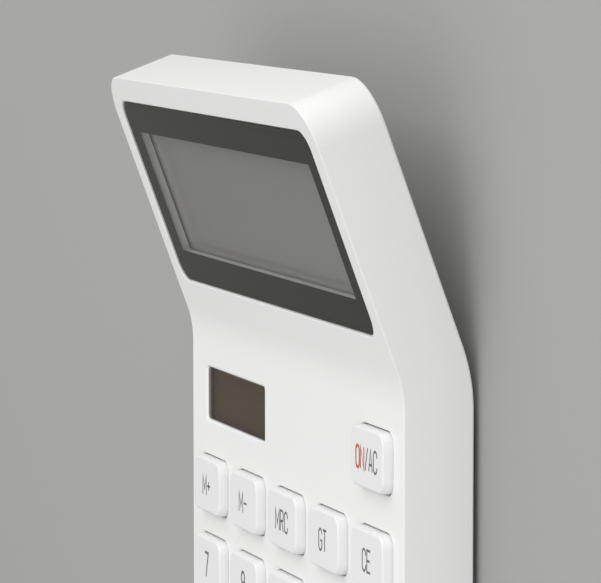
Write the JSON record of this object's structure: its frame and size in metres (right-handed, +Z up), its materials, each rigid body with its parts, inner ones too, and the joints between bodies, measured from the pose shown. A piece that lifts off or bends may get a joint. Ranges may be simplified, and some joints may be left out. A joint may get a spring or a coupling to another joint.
{
  "type": "desktop calculator",
  "caption": "Thin white desktop calculator with a fixed tilted display head, a solar cell and low sprung keys, resting on rubber feet.",
  "frame": {"origin": "on the table under the middle of the calculator's box", "axes": "+X right, +Y up the keypad towards the display, +Z up out of the keypad"},
  "size_m": [0.11, 0.146, 0.0294],
  "materials": {
    "case_white": "satin moulded plastic",
    "key_white": "satin moulded plastic",
    "lens_clear": "clear polished plate",
    "mask_dark": "dark print behind the lens",
    "lcd_grey": "grey liquid crystal panel",
    "reflector_silver": "matt silver sheet",
    "tray_white": "moulded plastic",
    "ribbon_tan": "flat printed ribbon",
    "board_green": "coated circuit board",
    "chip_black": "black resin",
    "mat_grey": "moulded silicone",
    "solar_clear": "clear polished plate",
    "solar_brown": "brown amorphous cell on glass",
    "contact_brass": "plated contact strip",
    "screw_steel": "bright steel",
    "wire_red": "insulated wire",
    "foot_grey": "soft rubber"
  },
  "bodies": {
    "case": {"front_shell": "case_white", "back_cover": "case_white", "battery_door": "case_white", "display_lens": "lens_clear", "display_mask": "mask_dark", "lcd_glass": "lcd_grey", "lcd_reflector": "reflector_silver", "lcd_tray": "tray_white", "lcd_ribbon": "ribbon_tan", "main_board": "board_green", "chip_cap": "chip_black", "board_parts": "chip_black", "rubber_mat": "mat_grey", "solar_window": "solar_clear", "solar_cell": "solar_brown", "solar_leads": "contact_brass", "button_cell": "screw_steel", "cell_contact_plus": "contact_brass", "cell_contact_minus": "contact_brass", "battery_leads": "wire_red", "door_screw": "screw_steel", "case_screws": "screw_steel", "board_screws": "screw_steel", "rubber_feet": "foot_grey"},
    "key_on_ac": {"key_on_ac": "key_white"},
    "key_m_plus": {"key_m_plus": "key_white"},
    "key_m_minus": {"key_m_minus": "key_white"},
    "key_mrc": {"key_mrc": "key_white"},
    "key_gt": {"key_gt": "key_white"},
    "key_ce": {"key_ce": "key_white"},
    "key_7": {"key_7": "key_white"},
    "key_8": {"key_8": "key_white"},
    "key_9": {"key_9": "key_white"},
    "key_percent": {"key_percent": "key_white"},
    "key_root": {"key_root": "key_white"},
    "key_4": {"key_4": "key_white"},
    "key_5": {"key_5": "key_white"},
    "key_6": {"key_6": "key_white"},
    "key_multiply": {"key_multiply": "key_white"},
    "key_divide": {"key_divide": "key_white"},
    "key_1": {"key_1": "key_white"},
    "key_2": {"key_2": "key_white"},
    "key_3": {"key_3": "key_white"},
    "key_plus": {"key_plus": "key_white"},
    "key_minus": {"key_minus": "key_white"},
    "key_0": {"key_0": "key_white"},
    "key_00": {"key_00": "key_white"},
    "key_point": {"key_point": "key_white"},
    "key_sign": {"key_sign": "key_white"},
    "key_equals": {"key_equals": "key_white"}
  },
  "joints": [
    {"name": "key_on_ac_press", "type": "slide", "parent": "case", "child": "key_on_ac", "axis": [0, 0, -1], "range_m": [0, 0.0012], "stiffness_N_per_m": 300, "springref_m": -0.0004, "deforming": ["rubber_mat"]},
    {"name": "key_m_plus_press", "type": "slide", "parent": "case", "child": "key_m_plus", "axis": [0, 0, -1], "range_m": [0, 0.0012], "stiffness_N_per_m": 300, "springref_m": -0.0004, "deforming": ["rubber_mat"]},
    {"name": "key_m_minus_press", "type": "slide", "parent": "case", "child": "key_m_minus", "axis": [0, 0, -1], "range_m": [0, 0.0012], "stiffness_N_per_m": 300, "springref_m": -0.0004, "deforming": ["rubber_mat"]},
    {"name": "key_mrc_press", "type": "slide", "parent": "case", "child": "key_mrc", "axis": [0, 0, -1], "range_m": [0, 0.0012], "stiffness_N_per_m": 300, "springref_m": -0.0004, "deforming": ["rubber_mat"]},
    {"name": "key_gt_press", "type": "slide", "parent": "case", "child": "key_gt", "axis": [0, 0, -1], "range_m": [0, 0.0012], "stiffness_N_per_m": 300, "springref_m": -0.0004, "deforming": ["rubber_mat"]},
    {"name": "key_ce_press", "type": "slide", "parent": "case", "child": "key_ce", "axis": [0, 0, -1], "range_m": [0, 0.0012], "stiffness_N_per_m": 300, "springref_m": -0.0004, "deforming": ["rubber_mat"]},
    {"name": "key_7_press", "type": "slide", "parent": "case", "child": "key_7", "axis": [0, 0, -1], "range_m": [0, 0.0012], "stiffness_N_per_m": 300, "springref_m": -0.0004, "deforming": ["rubber_mat"]},
    {"name": "key_8_press", "type": "slide", "parent": "case", "child": "key_8", "axis": [0, 0, -1], "range_m": [0, 0.0012], "stiffness_N_per_m": 300, "springref_m": -0.0004, "deforming": ["rubber_mat"]},
    {"name": "key_9_press", "type": "slide", "parent": "case", "child": "key_9", "axis": [0, 0, -1], "range_m": [0, 0.0012], "stiffness_N_per_m": 300, "springref_m": -0.0004, "deforming": ["rubber_mat"]},
    {"name": "key_percent_press", "type": "slide", "parent": "case", "child": "key_percent", "axis": [0, 0, -1], "range_m": [0, 0.0012], "stiffness_N_per_m": 300, "springref_m": -0.0004, "deforming": ["rubber_mat"]},
    {"name": "key_root_press", "type": "slide", "parent": "case", "child": "key_root", "axis": [0, 0, -1], "range_m": [0, 0.0012], "stiffness_N_per_m": 300, "springref_m": -0.0004, "deforming": ["rubber_mat"]},
    {"name": "key_4_press", "type": "slide", "parent": "case", "child": "key_4", "axis": [0, 0, -1], "range_m": [0, 0.0012], "stiffness_N_per_m": 300, "springref_m": -0.0004, "deforming": ["rubber_mat"]},
    {"name": "key_5_press", "type": "slide", "parent": "case", "child": "key_5", "axis": [0, 0, -1], "range_m": [0, 0.0012], "stiffness_N_per_m": 300, "springref_m": -0.0004, "deforming": ["rubber_mat"]},
    {"name": "key_6_press", "type": "slide", "parent": "case", "child": "key_6", "axis": [0, 0, -1], "range_m": [0, 0.0012], "stiffness_N_per_m": 300, "springref_m": -0.0004, "deforming": ["rubber_mat"]},
    {"name": "key_multiply_press", "type": "slide", "parent": "case", "child": "key_multiply", "axis": [0, 0, -1], "range_m": [0, 0.0012], "stiffness_N_per_m": 300, "springref_m": -0.0004, "deforming": ["rubber_mat"]},
    {"name": "key_divide_press", "type": "slide", "parent": "case", "child": "key_divide", "axis": [0, 0, -1], "range_m": [0, 0.0012], "stiffness_N_per_m": 300, "springref_m": -0.0004, "deforming": ["rubber_mat"]},
    {"name": "key_1_press", "type": "slide", "parent": "case", "child": "key_1", "axis": [0, 0, -1], "range_m": [0, 0.0012], "stiffness_N_per_m": 300, "springref_m": -0.0004, "deforming": ["rubber_mat"]},
    {"name": "key_2_press", "type": "slide", "parent": "case", "child": "key_2", "axis": [0, 0, -1], "range_m": [0, 0.0012], "stiffness_N_per_m": 300, "springref_m": -0.0004, "deforming": ["rubber_mat"]},
    {"name": "key_3_press", "type": "slide", "parent": "case", "child": "key_3", "axis": [0, 0, -1], "range_m": [0, 0.0012], "stiffness_N_per_m": 300, "springref_m": -0.0004, "deforming": ["rubber_mat"]},
    {"name": "key_plus_press", "type": "slide", "parent": "case", "child": "key_plus", "axis": [0, 0, -1], "range_m": [0, 0.0012], "stiffness_N_per_m": 300, "springref_m": -0.0004, "deforming": ["rubber_mat"]},
    {"name": "key_minus_press", "type": "slide", "parent": "case", "child": "key_minus", "axis": [0, 0, -1], "range_m": [0, 0.0012], "stiffness_N_per_m": 300, "springref_m": -0.0004, "deforming": ["rubber_mat"]},
    {"name": "key_0_press", "type": "slide", "parent": "case", "child": "key_0", "axis": [0, 0, -1], "range_m": [0, 0.0012], "stiffness_N_per_m": 300, "springref_m": -0.0004, "deforming": ["rubber_mat"]},
    {"name": "key_00_press", "type": "slide", "parent": "case", "child": "key_00", "axis": [0, 0, -1], "range_m": [0, 0.0012], "stiffness_N_per_m": 300, "springref_m": -0.0004, "deforming": ["rubber_mat"]},
    {"name": "key_point_press", "type": "slide", "parent": "case", "child": "key_point", "axis": [0, 0, -1], "range_m": [0, 0.0012], "stiffness_N_per_m": 300, "springref_m": -0.0004, "deforming": ["rubber_mat"]},
    {"name": "key_sign_press", "type": "slide", "parent": "case", "child": "key_sign", "axis": [0, 0, -1], "range_m": [0, 0.0012], "stiffness_N_per_m": 300, "springref_m": -0.0004, "deforming": ["rubber_mat"]},
    {"name": "key_equals_press", "type": "slide", "parent": "case", "child": "key_equals", "axis": [0, 0, -1], "range_m": [0, 0.0012], "stiffness_N_per_m": 300, "springref_m": -0.0004, "deforming": ["rubber_mat"]}
  ]
}
